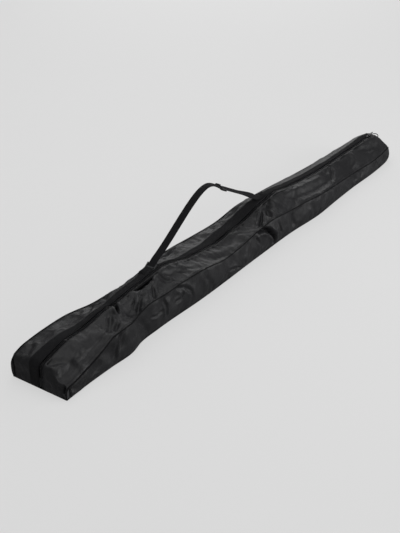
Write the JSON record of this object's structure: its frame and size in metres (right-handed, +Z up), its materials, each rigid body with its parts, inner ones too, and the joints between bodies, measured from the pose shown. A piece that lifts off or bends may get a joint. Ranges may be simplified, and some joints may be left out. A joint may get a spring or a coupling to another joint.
{
  "type": "ski bag",
  "caption": "Long soft bag for a pair of skis: square tail, tapering tip, lengthwise zip with storm flap, opening top panels, arched carry strap and tip pull loop.",
  "frame": {"origin": "on the floor under the middle of the bag's outline", "axes": "+X from the square tail end to the tapered tip end, +Y to the bag's left, +Z up"},
  "size_m": [1.8799, 0.1918, 0.2785],
  "materials": {
    "coated_fabric": "coated woven fabric, satin, creased",
    "webbing": "matt woven webbing",
    "zip_nylon": "matt nylon coil",
    "acetal": "satin moulded acetal",
    "black_zinc": "black satin paint on zinc",
    "foam": "closed-cell foam sheet"
  },
  "bodies": {
    "bag": {"bottom_panel": "coated_fabric", "side_panel_left": "coated_fabric", "side_panel_right": "coated_fabric", "tip_side_left": "coated_fabric", "tip_side_right": "coated_fabric", "tail_panel_left": "coated_fabric", "tail_panel_right": "coated_fabric", "tip_panel_left": "coated_fabric", "tip_panel_right": "coated_fabric", "piping_left": "webbing", "piping_right": "webbing", "tail_zip_band": "zip_nylon", "tip_garage": "webbing", "zip_end_tail": "zip_nylon", "zip_end_tip": "zip_nylon", "tail_flap": "webbing", "tip_pull_loop": "webbing", "tail_pad": "foam", "inner_tie_rear": "webbing", "inner_tie_front": "webbing"},
    "left_flap": {"top_panel_left": "coated_fabric", "zip_chain_left": "zip_nylon", "zip_tape_left": "webbing", "storm_flap": "webbing", "anchor_patch_near": "webbing", "anchor_patch_far": "webbing", "strap_foot_near": "webbing", "strap_foot_far": "webbing", "ladder_lock": "acetal"},
    "right_flap": {"top_panel_right": "coated_fabric", "zip_chain_right": "zip_nylon", "zip_tape_right": "webbing"},
    "slider": {"zip_slider": "black_zinc"},
    "pull": {"zip_pull": "black_zinc", "zip_pull_cord": "webbing"},
    "strap": {"carry_strap": "webbing"},
    "adjuster": {"strap_adjuster": "acetal"}
  },
  "joints": [
    {"name": "left_flap_open", "type": "hinge", "parent": "bag", "child": "left_flap", "pos_m": [-0.83, 0.0965, 0.091], "axis": [-0.9998, 0.0078, 0.0192], "range_deg": [0, 90]},
    {"name": "right_flap_open", "type": "hinge", "parent": "bag", "child": "right_flap", "pos_m": [-0.83, -0.0965, 0.091], "axis": [0.9998, 0.0078, -0.0192], "range_deg": [0, 90]},
    {"name": "zip_slide", "type": "slide", "parent": "bag", "child": "slider", "axis": [-1, 0, 0], "range_m": [0, 1.7]},
    {"name": "pull_lift", "type": "hinge", "parent": "slider", "child": "pull", "pos_m": [0.877, -0.01, 0.103], "axis": [0, -1, 0], "range_deg": [0, 165]},
    {"name": "strap_swing", "type": "hinge", "parent": "left_flap", "child": "strap", "pos_m": [-0.186, 0.012, 0.118], "axis": [-1, 0, 0], "range_deg": [-45, 85]},
    {"name": "adjuster_slide", "type": "slide", "parent": "strap", "child": "adjuster", "axis": [0.8781, 0, -0.4786], "range_m": [0, 0.11]}
  ]
}
